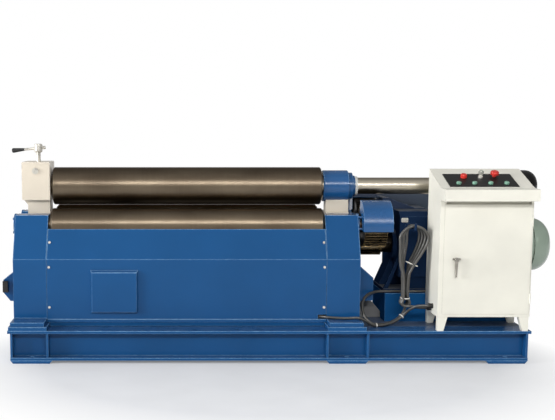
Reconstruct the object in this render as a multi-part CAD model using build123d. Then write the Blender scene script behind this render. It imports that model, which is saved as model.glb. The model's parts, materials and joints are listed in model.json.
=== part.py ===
from build123d import *
import math
import os

os.makedirs("parts", exist_ok=True)

# All lengths in mm. X runs along the rolls, to the right, and Y to the rear.
# Z is up from the floor, and the origin is the centre of the foundation bolts.

# Base
base_half_length = 1495
base_half_depth = 480
base_top = 190
beam_end_inset = 15
foot_height = 18
beam_width = 140
beam_flange = 16
beam_web = 10
foot_centres = [-1360, 450, 1360]
foot_length = 240
foot_slant = 16
anchor_radius = 11
anchor_y = 448
cross_tube_centres = [-1440, -1300, -880, 360, 530, 960, 1440]
cross_tube_width = 70
cross_tube_wall = 8
stiffener_positions = [-1474, -1268, 336, 567, 1474]
stiffener_thickness = 12
stiffener_inset = 6
deck_left = 574
deck_end_inset = 10
plate_step = 22
plate_left_overhang = 10
plate_right_overhang = 16

# Rolls
upper_radius = 112.8
lower_radius = 100.5
upper_z = 990
lower_z = 765
lower_y = 140
roll_left = -1274
roll_right = 342
journal_radius = 45
bush_radius = 55
roll_chamfer = 12
running_gap = 0.05
clear_gap = 0.4

# Stands
stand_width = 194
left_stand_x = -1480
right_stand_x = 346
stand_fold_y = 330
stand_fold_z = 582
stand_top_y = 205
stand_top_z = 828
stand_foot_z = base_top + plate_step
stand_floor_z = stand_foot_z + 24
stand_floor_inset = 10
stand_wall = 14
boss_radius = 64
notch_half_depth = 79
notch_floor_z = 590
column_slot_margin = 8
column_slot_depth = 30
cap_thickness = 12
cap_radius = 68
cap_screw_circle = 57
cap_screw_radius = 7
cap_screw_height = 6

# Sheet covers between the stands
cover_thickness = 4
cover_bottom_z = 214
cover_top_z = 750
cover_side_gap = 2
cover_lean = math.degrees(math.atan2(stand_fold_y - stand_top_y, stand_top_z - stand_fold_z))
cover_screw_heights = [301, 537, 675]
cover_screw_inset = 13
cover_screw_radius = 7
cover_screw_height = 5
strip_thickness = 6
strip_height = 16
tab_reach = 26
tab_gap = 0.2
tab_depth = 36
tab_half_height = 18
inspection_x = (-1029, -753)
inspection_z = (272, 520)
inspection_overlap = 22
inspection_thickness = 8
cable_notch_left = 297
cable_notch_z = (232, 258)

# Lifting drive
left_column_x = -1354
right_column_x = 440
left_column_half_width = 50
right_column_half_width = 68
column_half_depth = 70
column_bottom_z = 485
right_neck_half_depth = 46
right_neck_bottom_z = 832
guide_bottom_z = 530
guide_top_z = 588
guide_half_depth = 120
guide_gap = 0.3
screw_radius = 28
screw_bottom_z = 315
screw_clearance = 3
nut_z = 380
nut_half_height = 23
nut_rise = 0.3
worm_wheel_teeth = 24
worm_wheel_module = 4
worm_radius = 19.5
worm_half_length = 45
lift_shaft_y = -72
lift_shaft_radius = 16
shaft_bush_wall = 6
shaft_overhang = 62
seat_half_depth = 115
seat_wall = 15
seat_thickness = 17
gearbox_x = -880
gearbox_half = 75
gearbox_half_height = 80
lift_motor_radius = 72
lift_motor_length = 245
hood_depth = (-165, 20)
hood_body = 45
hood_low_z = 309
hood_wall = 4

# Each hood: reach from its stand, height at the stand, height at its end, height of its lip
left_hood = (86, 504, 437, 360)
right_hood = (108, 545, 449, 312)
switch_width = 30
switch_z = (366, 432)

# Drop end
pivot_x = -1354
pivot_z = 748
pivot_radius = 18
ear_radius = 36
ear_slot_depth = 60
lug_half_depth = 26
block_left = -1452
block_right = -1286
block_half_depth = 115
block_bottom_z = 912
block_top_z = 1138
block_chamfer = 4
neck_left = -1424
neck_right = -1292
neck_half_depth = 70
neck_slant = 32
neck_bottom_z = 806
taper_start_x = -1284
taper_length = 74
taper_large_radius = 52
taper_small_radius = 22
lock_x = -1366

# Gears
gear_module = 6
roll_gear_teeth = 44
pinion_teeth = 20
gear_left = 575
gear_right = 707
pinion_drop = math.sqrt(
    (gear_module * (roll_gear_teeth + pinion_teeth) / 2) ** 2 - lower_y**2
)
drive_z = lower_z - pinion_drop

# Reducer and motor
reducer_left = 800
reducer_right = 1000
reducer_front = -156
reducer_rear = 345
reducer_top = 845
reducer_wall = 10
reducer_floor = 455
reducer_inner_top = 800
reducer_chamfer = 30
reducer_leg_inset = 30
reducer_leg_fronts = [-136, 20, 160]
reducer_leg_thickness = 24
strut_top_z = 575
strut_low_z = 530
output_shaft_radius = 50
layshaft_radius = 20
layshaft_y = 165
layshaft_end = 995
motor_radius = 150
motor_left = 1130
motor_right = 1610
motor_shaft_radius = 19
rotor_radius = 80
fin_count = 30
fin_height = 8
fin_thickness = 5
seat_gap = 0.3
motor_foot_left = 1262
motor_foot_right = 1440
motor_foot_half_depth = 110
motor_foot_inner_top = 455
fan_cover_radius = 161
fan_cover_end = 1728
fan_cover_round = 100
fan_cover_wall = 4
pedestal_left = 714
pedestal_right = 1482
pedestal_front = -192
pedestal_top = 361
pedestal_wall = 12
reducer_foot = pedestal_top + 20

# Cabinet
cabinet_left = 954
cabinet_right = 1479
cabinet_front = -480
cabinet_rear = -200
cabinet_bottom = 272
cabinet_slope_front_z = 1007
cabinet_slope_rear_z = 1102
lip_front = -575
lip_top = 1003
lip_bottom = 938
sheet = 3
door_left = 980
door_right = 1470
door_bottom = 290
door_top = 914
slope_angle = math.degrees(
    math.atan2(cabinet_slope_rear_z - cabinet_slope_front_z, cabinet_rear - cabinet_front)
)

# Cables
cable_diameter = 16
hank_x = 849
hank_low_x = 819
hank_front_y = -330
hank_pitch = 18
hank_loops = 4
hank_half_width = 84
hank_nesting = 14
hank_fold_half_width = 23
hank_top_z = 774
hank_bow_z = 675
hank_waist_z = 487
hank_bottom_z = 306
hook_z = 758
hook_end = -350
hook_radius = 7
lift_gland = (-375, 318)
motor_gland = (-335, 300)
gland_length = 24
gland_radius = 15
gland_hole_radius = 5
motor_end_y = -88
motor_end_z = pedestal_top + 17


# Shape helpers

def box(x0, x1, y0, y1, z0, z1):
    centre = Pos((x0 + x1) / 2, (y0 + y1) / 2, (z0 + z1) / 2)
    return centre * Box(x1 - x0, y1 - y0, z1 - z0)


def rod_x(radius, x0, x1, y, z):
    return Pos((x0 + x1) / 2, y, z) * Rot(0, 90, 0) * Cylinder(radius, x1 - x0)


def rod_y(radius, x, y0, y1, z):
    return Pos(x, (y0 + y1) / 2, z) * Rot(90, 0, 0) * Cylinder(radius, y1 - y0)


def rod_z(radius, x, y, z0, z1):
    return Pos(x, y, (z0 + z1) / 2) * Cylinder(radius, z1 - z0)


def ring_x(inner, outer, x0, x1, y, z):
    return rod_x(outer, x0, x1, y, z) - rod_x(inner, x0 - 1, x1 + 1, y, z)


def prism_x(outline_yz, x0, x1):
    corners = [(x0, y, z) for y, z in outline_yz]
    return extrude(make_face(Polyline(*corners, close=True)), amount=x1 - x0, dir=(1, 0, 0))


def prism_y(outline_xz, y0, y1):
    corners = [(x, y0, z) for x, z in outline_xz]
    return extrude(make_face(Polyline(*corners, close=True)), amount=y1 - y0, dir=(0, 1, 0))


def turned_x(outline, y, z):
    face = make_face(Polyline(*[(x, 0, r) for x, r in outline], close=True))
    return Pos(0, y, z) * revolve(face, axis=Axis.X)


def both_sides(make):
    return [make(-1), make(1)]


def save(name, *shapes):
    solids = [solid for shape in shapes for solid in shape.solids()]
    export_step(Compound(children=solids), f"parts/{name}.step")


# Gear wheels. Teeth are straight sided, with backlash, and lie along X.

def gear_outline(teeth, module, phase):
    pitch_radius = teeth * module / 2
    root = pitch_radius - 1.2 * module
    tip = pitch_radius + 0.9 * module
    step = 2 * math.pi / teeth
    outline = []
    for index in range(teeth):
        middle = phase + index * step
        for radius, share in ((root, -0.27), (tip, -0.11), (tip, 0.11), (root, 0.27)):
            angle = middle + share * step
            outline.append((radius * math.cos(angle), radius * math.sin(angle)))
    return outline


def gear_x(teeth, module, phase, x0, x1, y, z):
    outline = [(y + a, z + b) for a, b in gear_outline(teeth, module, phase)]
    return prism_x(outline, x0, x1)


def mate_phase(direction, phase, teeth, mate_teeth):
    offset = phase - direction
    return direction + math.pi - (offset * teeth + math.pi) / mate_teeth


# Base frame. Each beam is welded from two flanges and a web.
web_low = foot_height + beam_flange
web_high = base_top - beam_flange
beam_inner = base_half_depth - beam_width
beam_middle = base_half_depth - beam_width / 2


def base_beam(side):
    half_length = base_half_length - beam_end_inset
    depth = sorted((side * beam_inner, side * base_half_depth))
    web_depth = sorted((side * (beam_middle - beam_web / 2), side * (beam_middle + beam_web / 2)))
    top_flange = box(-base_half_length, base_half_length, *depth, web_high, base_top)
    web = box(-half_length, half_length, *web_depth, web_low, web_high)
    bottom_flange = box(-half_length, half_length, *depth, foot_height, web_low)
    for x in foot_centres:
        bottom_flange -= rod_z(anchor_radius, x, side * anchor_y, foot_height - 1, web_low + 1)
    return [top_flange, web, bottom_flange]


def base_foot(x, side):
    half = foot_length / 2
    outline = [
        (x - half + foot_slant, 0), (x + half - foot_slant, 0),
        (x + half, foot_height), (x - half, foot_height),
    ]
    foot = prism_y(outline, *sorted((side * beam_inner, side * base_half_depth)))
    return foot - rod_z(anchor_radius, x, side * anchor_y, -1, foot_height + 1)


def cross_tube(x):
    reach = beam_middle - beam_web / 2
    half = cross_tube_width / 2
    tube = box(x - half, x + half, -reach, reach, web_low, web_high)
    return tube - box(
        x - half + cross_tube_wall, x + half - cross_tube_wall, -reach - 1, reach + 1,
        web_low + cross_tube_wall, web_high - cross_tube_wall,
    )


def stiffener(x, side):
    depth = sorted((side * (beam_middle + beam_web / 2), side * (base_half_depth - stiffener_inset)))
    half = stiffener_thickness / 2
    return box(x - half, x + half, *depth, web_low, web_high)


save("base_beams", *base_beam(-1), *base_beam(1))
save("base_feet", *[base_foot(x, side) for x in foot_centres for side in (-1, 1)])
save("base_cross_members",
     *[cross_tube(x) for x in cross_tube_centres],
     *[stiffener(x, side) for x in stiffener_positions for side in (-1, 1)])
save("drive_deck", box(deck_left, base_half_length - deck_end_inset, -beam_inner, beam_inner,
                       web_high, base_top))

stand_lefts = [left_stand_x, right_stand_x]
save("stand_base_plates",
     *[box(x - plate_left_overhang, x + stand_width + plate_right_overhang,
           -base_half_depth, base_half_depth, base_top, stand_foot_z)
       for x in stand_lefts])


# Stands

def stand_outline(inset):
    slope_share = 0.7
    fold_share = 0.25
    fold = stand_fold_y - inset
    top = stand_top_y - slope_share * inset
    top_z = stand_top_z - inset
    fold_z = stand_fold_z - fold_share * inset
    return [
        (-fold, stand_floor_z), (-fold, fold_z), (-top, top_z),
        (top, top_z), (fold, fold_z), (fold, stand_floor_z),
    ]


def cover_front_y(z):
    if z < stand_fold_z:
        return stand_fold_y
    share = (z - stand_fold_z) / (stand_top_z - stand_fold_z)
    return stand_fold_y - share * (stand_fold_y - stand_top_y)


def on_cover(x, z, side):
    tilt = cover_lean if z > stand_fold_z else 0
    return Pos(x, side * cover_front_y(z), z) * Rot(side * tilt, 0, 0)


def cover_tab(x_face, direction, z, side):
    x_span = sorted((0, direction * tab_reach))
    y_span = sorted((-side * (cover_thickness + tab_gap), -side * (cover_thickness + tab_depth)))
    return on_cover(x_face, z, side) * box(*x_span, *y_span, -tab_half_height, tab_half_height)


def stand(x0, inner_direction):
    x1 = x0 + stand_width
    floor_half_depth = base_half_depth - stand_floor_inset
    shell = prism_x(stand_outline(0), x0, x1)
    shell -= prism_x(stand_outline(stand_wall), x0 + stand_wall, x1 - stand_wall)
    shell += box(x0, x1, -floor_half_depth, floor_half_depth, stand_foot_z, stand_floor_z)
    for side in (-1, 1):
        shell += rod_x(boss_radius, x0, x1, side * lower_y, lower_z)
    for side in (-1, 1):
        shell -= rod_x(bush_radius, x0 - 1, x1 + 1, side * lower_y, lower_z)
    inner_face = x1 if inner_direction > 0 else x0
    for side in (-1, 1):
        for z in cover_screw_heights:
            shell += cover_tab(inner_face, inner_direction, z, side)
    shell -= rod_x(lift_shaft_radius + shaft_bush_wall, x0 - 1, x1 + 1, lift_shaft_y, nut_z)
    return shell


left_stand = stand(left_stand_x, 1)
left_stand -= box(left_stand_x - 1, left_stand_x + stand_width + 1, -notch_half_depth,
                  notch_half_depth, notch_floor_z, stand_top_z + 1)
save("left_stand", left_stand)

pinion_bush_radius = 45
pinion_stub_radius = 35
right_stand_end = right_stand_x + stand_width
right_stand = stand(right_stand_x, -1)
right_stand -= box(right_stand_x + stand_wall, right_stand_end - stand_wall - column_slot_margin,
                   -notch_half_depth, notch_half_depth, stand_top_z - column_slot_depth, stand_top_z + 1)
right_stand -= rod_x(pinion_bush_radius, right_stand_end - stand_wall - 1, right_stand_end + 1,
                     0, drive_z)
save("right_stand", right_stand)

roll_bushes = [
    ring_x(journal_radius + running_gap, bush_radius, x, x + stand_width, side * lower_y, lower_z)
    for x in stand_lefts for side in (-1, 1)
]
pinion_bush = ring_x(pinion_stub_radius + running_gap, pinion_bush_radius,
                     right_stand_end - stand_wall, right_stand_end, 0, drive_z)
shaft_bushes = [
    ring_x(lift_shaft_radius + running_gap, lift_shaft_radius + shaft_bush_wall, x, x + stand_wall,
           lift_shaft_y, nut_z)
    for x0 in stand_lefts for x in (x0, x0 + stand_width - stand_wall)
]
save("frame_bushes", *roll_bushes, pinion_bush, *shaft_bushes)


def bearing_cap(x0, opening, side):
    cap = rod_x(cap_radius, x0, x0 + cap_thickness, side * lower_y, lower_z)
    if opening:
        cap -= rod_x(journal_radius + 1, x0 - 1, x0 + cap_thickness + 1, side * lower_y, lower_z)
    for turn in range(4):
        angle = math.radians(45 + 90 * turn)
        y = side * lower_y + cap_screw_circle * math.cos(angle)
        z = lower_z + cap_screw_circle * math.sin(angle)
        head_x = x0 + cap_thickness if opening else x0 - cap_screw_height
        cap += rod_x(cap_screw_radius, head_x, head_x + cap_screw_height, y, z)
    return cap


save("bearing_caps",
     *[bearing_cap(left_stand_x - cap_thickness, False, side) for side in (-1, 1)],
     *[bearing_cap(right_stand_end, True, side) for side in (-1, 1)])


# Lifting screws, nuts and shaft

def guide(column_left, column_right, stand_left):
    block = box(stand_left + stand_wall, stand_left + stand_width - stand_wall,
                -guide_half_depth, guide_half_depth, guide_bottom_z, guide_top_z)
    return block - box(column_left - guide_gap, column_right + guide_gap,
                       -column_half_depth - guide_gap, column_half_depth + guide_gap,
                       guide_bottom_z - 1, guide_top_z + 1)


left_column_span = (left_column_x - left_column_half_width, left_column_x + left_column_half_width)
right_column_span = (right_column_x - right_column_half_width, right_column_x + right_column_half_width)
seat_top = nut_z - nut_half_height
seat_low = seat_top - seat_thickness


def nut_seat(column_x, stand_left):
    x0 = stand_left + stand_wall
    x1 = stand_left + stand_width - stand_wall
    seat = box(x0, x1, -seat_half_depth, seat_half_depth, seat_low, seat_top)
    for side in (-1, 1):
        wall_span = sorted((side * (seat_half_depth - seat_wall), side * seat_half_depth))
        seat += box(x0, x1, *wall_span, stand_floor_z, seat_top)
    return seat - rod_z(screw_radius + screw_clearance, column_x, 0, seat_low - 1, seat_top + 1)


save("lift_supports",
     guide(*left_column_span, left_stand_x), guide(*right_column_span, right_stand_x),
     nut_seat(left_column_x, left_stand_x), nut_seat(right_column_x, right_stand_x))


def worm_nut(column_x):
    corners = gear_outline(worm_wheel_teeth, worm_wheel_module, 0)
    low = seat_top + nut_rise
    high = low + 2 * nut_half_height
    face = make_face(Polyline(*[(column_x + a, b, low) for a, b in corners], close=True))
    wheel = extrude(face, amount=high - low, dir=(0, 0, 1))
    return wheel - rod_z(screw_radius + running_gap, column_x, 0, low - 1, high + 1)


save("left_worm_nut", worm_nut(left_column_x))
save("right_worm_nut", worm_nut(right_column_x))

lift_shaft = rod_x(lift_shaft_radius, left_stand_x - shaft_overhang, right_stand_end + shaft_overhang,
                   lift_shaft_y, nut_z)
for column_x in (left_column_x, right_column_x):
    lift_shaft += rod_x(worm_radius, column_x - worm_half_length, column_x + worm_half_length,
                        lift_shaft_y, nut_z)
save("lift_shaft", lift_shaft)

gearbox_rear = lift_shaft_y + gearbox_half + 10
bracket_top = nut_z - gearbox_half_height
bracket_plate = 12
bracket_half_depth = 160
bracket_overhang = 10
bracket_leg_offsets = (-35, 23)
gearbox = box(gearbox_x - gearbox_half, gearbox_x + gearbox_half, lift_shaft_y - gearbox_half,
              gearbox_rear, bracket_top, nut_z + gearbox_half_height)
gearbox -= rod_x(lift_shaft_radius + 1, gearbox_x - gearbox_half - 1, gearbox_x + gearbox_half + 1,
                 lift_shaft_y, nut_z)
bracket = box(gearbox_x - gearbox_half - bracket_overhang, gearbox_x + gearbox_half + bracket_overhang,
              -bracket_half_depth, bracket_half_depth, bracket_top - bracket_plate, bracket_top)
for offset in bracket_leg_offsets:
    leg_x = gearbox_x + offset
    bracket += box(leg_x, leg_x + bracket_plate, -bracket_half_depth, bracket_half_depth,
                   web_high, bracket_top - bracket_plate)
save("lift_gearbox", gearbox, bracket)

lift_terminal_half = 45
lift_terminal_y = (gearbox_rear + 77, gearbox_rear + 177)
lift_terminal_z = (nut_z + 60, nut_z + 115)
lift_motor = rod_y(lift_motor_radius, gearbox_x, gearbox_rear, gearbox_rear + lift_motor_length, nut_z)
lift_motor += box(gearbox_x - lift_terminal_half, gearbox_x + lift_terminal_half,
                  *lift_terminal_y, *lift_terminal_z)
save("lift_motor", lift_motor)


def worm_hood(wall_x, direction, sizes):
    reach, wall_z, outer_z, lip_z = sizes

    def outline(inset):
        roof_share = 1.3
        end_share = 0.8
        knee = wall_x + direction * hood_body
        far = wall_x + direction * (reach - inset)
        return [(wall_x, wall_z - roof_share * inset), (wall_x, hood_low_z + inset),
                (knee, hood_low_z + inset), (far, lip_z + inset), (far, outer_z - end_share * inset)]
    hood = prism_y(outline(0), *hood_depth)
    return hood - prism_y(outline(hood_wall), hood_depth[0] + hood_wall, hood_depth[1] - hood_wall)


save("worm_hoods", worm_hood(left_stand_x, -1, left_hood), worm_hood(right_stand_end, 1, right_hood))
switch_left = left_stand_x - left_hood[0]
limit_switch = box(switch_left, switch_left + switch_width, hood_depth[0] - switch_width, hood_depth[0],
                   *switch_z)


# Columns, drop end and upper bearing

def taper(extra):
    slope = (taper_large_radius - taper_small_radius) / taper_length
    lead = 6
    x0 = taper_start_x - taper_length - extra
    x1 = taper_start_x + lead
    outline = [(x0, 0), (x1, 0), (x1, taper_large_radius + extra + slope * lead),
               (x0, taper_small_radius + extra)]
    return turned_x(outline, 0, upper_z)


def column_box(span, top):
    return box(*span, -column_half_depth, column_half_depth, column_bottom_z, top)


slot_low = pivot_z - ear_slot_depth
slot_high = pivot_z + ear_slot_depth
left_column = column_box(left_column_span, pivot_z)
left_column += rod_y(ear_radius, pivot_x, -column_half_depth, column_half_depth, pivot_z)
left_column -= box(left_column_span[0] - 1, pivot_x - ear_radius, -column_half_depth - 1,
                   column_half_depth + 1, slot_low, slot_high)
left_column -= box(left_column_span[0] - 1, left_column_span[1] + 1, -lug_half_depth - 1,
                   lug_half_depth + 1, slot_low, slot_high)
left_column -= rod_y(pivot_radius, pivot_x, -column_half_depth - 1, column_half_depth + 1, pivot_z)
pivot_pin = rod_y(pivot_radius, pivot_x, -column_half_depth, column_half_depth, pivot_z)
save("lift_screws",
     *[rod_z(screw_radius, x, 0, screw_bottom_z, column_bottom_z) for x in (left_column_x, right_column_x)])

block = box(block_left, block_right, -block_half_depth, block_half_depth, block_bottom_z, block_top_z)
block = chamfer(block.edges().group_by(Axis.Z)[-1], block_chamfer)
neck_outline = [
    (block_left + 2, block_bottom_z), (neck_left, block_bottom_z - neck_slant),
    (neck_left, neck_bottom_z), (neck_right, neck_bottom_z), (neck_right, block_bottom_z),
]
block += prism_y(neck_outline, -neck_half_depth, neck_half_depth)
block += rod_y(ear_radius, pivot_x, -lug_half_depth, lug_half_depth, pivot_z)
block += box(pivot_x - ear_radius, pivot_x + ear_radius, -lug_half_depth, lug_half_depth,
             pivot_z, neck_bottom_z)
block -= rod_y(pivot_radius + running_gap, pivot_x, -lug_half_depth - 1, lug_half_depth + 1, pivot_z)
bush_wall = 8
lock_screw_radius = 13
lock_hole_depth = 45
plug_x = -1371
plug_z = 1085
plug_depth = 22
plug_radius = 12
plug_head_radius = 18
plug_head_height = 7
block -= taper(bush_wall)
block -= rod_z(lock_screw_radius + running_gap, lock_x, 0, block_top_z - lock_hole_depth, block_top_z + 1)
block -= rod_y(plug_radius, plug_x, -block_half_depth - 1, -block_half_depth + plug_depth, plug_z)
save("drop_end_block", block)
bush_left = taper_start_x - taper_length - clear_gap
bush_room = box(bush_left, block_right, -block_half_depth, block_half_depth, block_bottom_z, block_top_z)
save("drop_end_bush", (taper(bush_wall) - taper(clear_gap)) & bush_room)
plug = rod_y(plug_radius, plug_x, -block_half_depth, -block_half_depth + plug_depth, plug_z)
plug += rod_y(plug_head_radius, plug_x, -block_half_depth - plug_head_height, -block_half_depth, plug_z)
save("drop_end_plug", plug)

boss_z = (1192, 1244)
lock_boss_radius = 24.5
lock_boss_round = 9
bar_z = 1218
bar_lean = -5.5
bar_radius = 7.5
bar_span = (-84, 34)
bar_stub_radius = 10
bar_stub_span = (27, 43)
lock_screw = rod_z(lock_screw_radius, lock_x, 0, block_top_z - lock_hole_depth + 2, boss_z[0])
lock_boss = rod_z(lock_boss_radius, lock_x, 0, *boss_z)
lock_screw += fillet(lock_boss.edges().filter_by(GeomType.CIRCLE), lock_boss_round)
bar_place = Pos(lock_x, 0, bar_z) * Rot(0, bar_lean, 0)
lock_bar = bar_place * rod_x(bar_radius, *bar_span, 0, 0)
lock_screw -= lock_bar
lock_bar += bar_place * rod_x(bar_stub_radius, *bar_stub_span, 0, 0)
save("lock_handle", lock_screw, lock_bar)
grip_end = -160
grip_outline = [(grip_end, 0), (bar_span[0], 0), (bar_span[0], 8), (grip_end + 10, 14.5),
                (grip_end + 3, 13), (grip_end, 8)]
save("lock_grip", bar_place * turned_x(grip_outline, 0, 0))

housing_radius = 94
housing_span = (353, 507)
housing_chamfer = 4
housing_bore = 72
end_cap_radius = 80
end_cap_step_radius = 62
end_cap_step_x = 532
end_cap_right = 548
seal_radius = 57
seal_right = 564
upper_journal_radius = 60
tail_radius = 50
housing = rod_x(housing_radius, *housing_span, 0, upper_z)
housing = chamfer(housing.edges().filter_by(GeomType.CIRCLE), housing_chamfer)
housing -= rod_x(housing_bore, housing_span[0] - 1, housing_span[1] + 1, 0, upper_z)
save("upper_bush", ring_x(upper_journal_radius + running_gap, housing_bore, *housing_span, 0, upper_z))
right_column = column_box(right_column_span, upper_z)
for side in (-1, 1):
    shoulder = sorted((side * right_neck_half_depth, side * (column_half_depth + 1)))
    right_column -= box(right_column_span[0] - 1, right_column_span[1] + 1, *shoulder,
                        right_neck_bottom_z, upper_z + 1)
right_column -= rod_x(housing_radius, right_column_span[0] - 1, right_column_span[1] + 1, 0, upper_z)
save("lift_columns", left_column, right_column, pivot_pin)
end_cap = rod_x(end_cap_radius, housing_span[1], end_cap_step_x, 0, upper_z)
end_cap += rod_x(end_cap_step_radius, end_cap_step_x, end_cap_right, 0, upper_z)
end_cap -= rod_x(tail_radius + clear_gap, housing_span[1] - 1, end_cap_right + 1, 0, upper_z)
save("upper_housing", housing, end_cap)
save("upper_seal_ring", ring_x(tail_radius + clear_gap, seal_radius, end_cap_right, seal_right, 0, upper_z))

# Upper roll with its tapered left journal and long tail
tail_end = 1565
tail_cap_left = 1540
tail_cap_right = 1650
tail_cap_radius = 95
tail_cap_round = 70
upper_chamfer = roll_chamfer / 2
journal_end = housing_span[1] - 1
upper_outline = [
    (taper_start_x - taper_length, 0), (taper_start_x - taper_length, taper_small_radius),
    (taper_start_x, taper_large_radius), (roll_left, taper_large_radius),
    (roll_left, upper_radius - upper_chamfer), (roll_left + upper_chamfer, upper_radius),
    (roll_right - upper_chamfer, upper_radius), (roll_right, upper_radius - upper_chamfer),
    (roll_right, upper_journal_radius), (journal_end, upper_journal_radius),
    (journal_end, tail_radius), (tail_end, tail_radius), (tail_end, 0),
]
save("upper_roll", turned_x(upper_outline, 0, upper_z))
tail_cap = rod_x(tail_cap_radius, tail_cap_left, tail_cap_right, 0, upper_z)
tail_cap = fillet(tail_cap.edges().group_by(Axis.X)[-1], tail_cap_round)
tail_cap -= rod_x(tail_radius, tail_cap_left - 1, tail_end, 0, upper_z)
save("tail_cap", tail_cap)

# Lower rolls and their gears
lower_left_end = left_stand_x + 2
lower_right_end = gear_right + 4
lower_outline = [
    (lower_left_end, 0), (lower_left_end, journal_radius), (roll_left, journal_radius),
    (roll_left, lower_radius - roll_chamfer), (roll_left + roll_chamfer, lower_radius),
    (roll_right - roll_chamfer, lower_radius), (roll_right, lower_radius - roll_chamfer),
    (roll_right, journal_radius), (lower_right_end, journal_radius), (lower_right_end, 0),
]
pinion_phase = 0.0
front_direction = math.atan2(pinion_drop, -lower_y)
rear_direction = math.atan2(pinion_drop, lower_y)
for name, side, direction in (("front", -1, front_direction), ("rear", 1, rear_direction)):
    save(f"{name}_lower_roll", turned_x(lower_outline, side * lower_y, lower_z))
    phase = mate_phase(direction, pinion_phase, pinion_teeth, roll_gear_teeth)
    gear = gear_x(roll_gear_teeth, gear_module, phase, gear_left, gear_right, side * lower_y, lower_z)
    gear -= rod_x(journal_radius, gear_left - 1, gear_right + 1, side * lower_y, lower_z)
    save(f"{name}_roll_gear", gear)

# Drive pinion with the output wheel of the reducer
pinion_overhang = 6
output_module = 5
output_teeth = 54
output_wheel_x = (832, 878)
output_seat_radius = 36
output_seat_end = 884
layshaft_pinion_teeth = 12
layshaft_pinion_x = (826, 884)
input_module = 3
layshaft_teeth = 90
layshaft_wheel_x = (906, 936)
input_teeth = 20
input_pinion_x = (900, 942)
motor_shaft_left = 892
pinion_right = gear_right + pinion_overhang
pinion = gear_x(pinion_teeth, gear_module, pinion_phase, gear_left - pinion_overhang, pinion_right,
                0, drive_z)
pinion += rod_x(pinion_stub_radius, right_stand_end - stand_wall - 4, gear_left, 0, drive_z)
pinion += rod_x(output_shaft_radius, pinion_right, reducer_left + 18, 0, drive_z)
pinion += rod_x(output_seat_radius, reducer_left + 10, output_seat_end, 0, drive_z)
output_wheel = gear_x(output_teeth, output_module, 0, *output_wheel_x, 0, drive_z)
output_wheel -= rod_x(output_seat_radius, output_wheel_x[0] - 1, output_wheel_x[1] + 1, 0, drive_z)
save("drive_pinion", pinion, output_wheel)
layshaft_phase = mate_phase(0, 0, output_teeth, layshaft_pinion_teeth)
layshaft = rod_x(layshaft_radius, reducer_left + 1, layshaft_end, layshaft_y, drive_z)
layshaft += gear_x(layshaft_pinion_teeth, output_module, layshaft_phase, *layshaft_pinion_x,
                   layshaft_y, drive_z)
layshaft += gear_x(layshaft_teeth, input_module, math.pi, *layshaft_wheel_x, layshaft_y, drive_z)
save("reducer_layshaft", layshaft)
input_phase = mate_phase(math.pi, math.pi, layshaft_teeth, input_teeth)
rotor_span = (motor_left + 60, motor_right - 80)
fan_span = (motor_right + 8, motor_right + 38)
fan_hub_radius = 34
fan_blade_radius = 118
fan_blade_half = 2
fan_blades = 8
shaft_end = fan_span[1] + 2
motor_shaft = rod_x(motor_shaft_radius, motor_shaft_left, shaft_end, 0, drive_z)
motor_shaft += gear_x(input_teeth, input_module, input_phase, *input_pinion_x, 0, drive_z)
motor_shaft += rod_x(rotor_radius, *rotor_span, 0, drive_z)
fan = rod_x(fan_hub_radius, *fan_span, 0, drive_z)
for blade in range(fan_blades):
    turn = Pos(0, 0, drive_z) * Rot(360 * blade / fan_blades, 0, 0)
    fan += turn * box(*fan_span, -fan_blade_half, fan_blade_half, fan_hub_radius - 4, fan_blade_radius)
fan -= rod_x(motor_shaft_radius, fan_span[0] - 1, fan_span[1] + 1, 0, drive_z)
save("motor_shaft", motor_shaft, fan)

# Gear guards. Each is half a drum and stands off the right stand on two studs.
guard_outer = 148
guard_wall = 4
guard_left = 564
guard_right = 736
guard_skirt = 28
guard_stud_radius = 7
guard_studs = ((82, -16), (62, 51))


def gear_guard(side):
    y = side * lower_y
    reach = guard_outer + 2
    inner = guard_outer - guard_wall
    guard = ring_x(inner, guard_outer, guard_left, guard_right, y, lower_z)
    guard += ring_x(cap_radius + 4, inner + 1, guard_left, guard_left + guard_wall, y, lower_z)
    guard -= box(guard_left - 1, guard_right + 1, y - reach, y + reach,
                 lower_z - reach, lower_z - guard_skirt)
    guard -= box(guard_left - 1, guard_right + 1, *sorted((y, y - side * reach)),
                 lower_z - reach, lower_z + reach)
    for out, up in guard_studs:
        guard += rod_x(guard_stud_radius, right_stand_end, guard_left + 2, y + side * out, lower_z + up)
    return guard


save("gear_guards", *both_sides(gear_guard))

# Sheet covers between the stands
cover_left = left_stand_x + stand_width + cover_side_gap
cover_right = right_stand_x - cover_side_gap
skirt_left = left_stand_x + stand_width + plate_right_overhang + cover_side_gap
skirt_right = right_stand_x - plate_left_overhang - cover_side_gap


def cover_outline(inset, side):
    fold_share = 0.23
    slope_share = 1.12
    top_y = cover_front_y(cover_top_z)
    return [
        (side * (stand_fold_y - inset), cover_bottom_z),
        (side * (stand_fold_y - inset), stand_fold_z - fold_share * inset),
        (side * (top_y - slope_share * inset), cover_top_z),
    ]


def cover(side):
    outline = cover_outline(0, side) + cover_outline(cover_thickness, side)[::-1]
    sheet_metal = prism_x(outline, cover_left, cover_right)
    strip = sorted((side * stand_fold_y, side * (stand_fold_y + strip_thickness)))
    sheet_metal += box(cover_left, cover_right, *strip, cover_bottom_z, cover_bottom_z + strip_height)
    skirt = sorted((side * (stand_fold_y - cover_thickness), side * stand_fold_y))
    sheet_metal += box(skirt_left, skirt_right, *skirt, base_top + 1, cover_bottom_z)
    return sheet_metal


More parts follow.
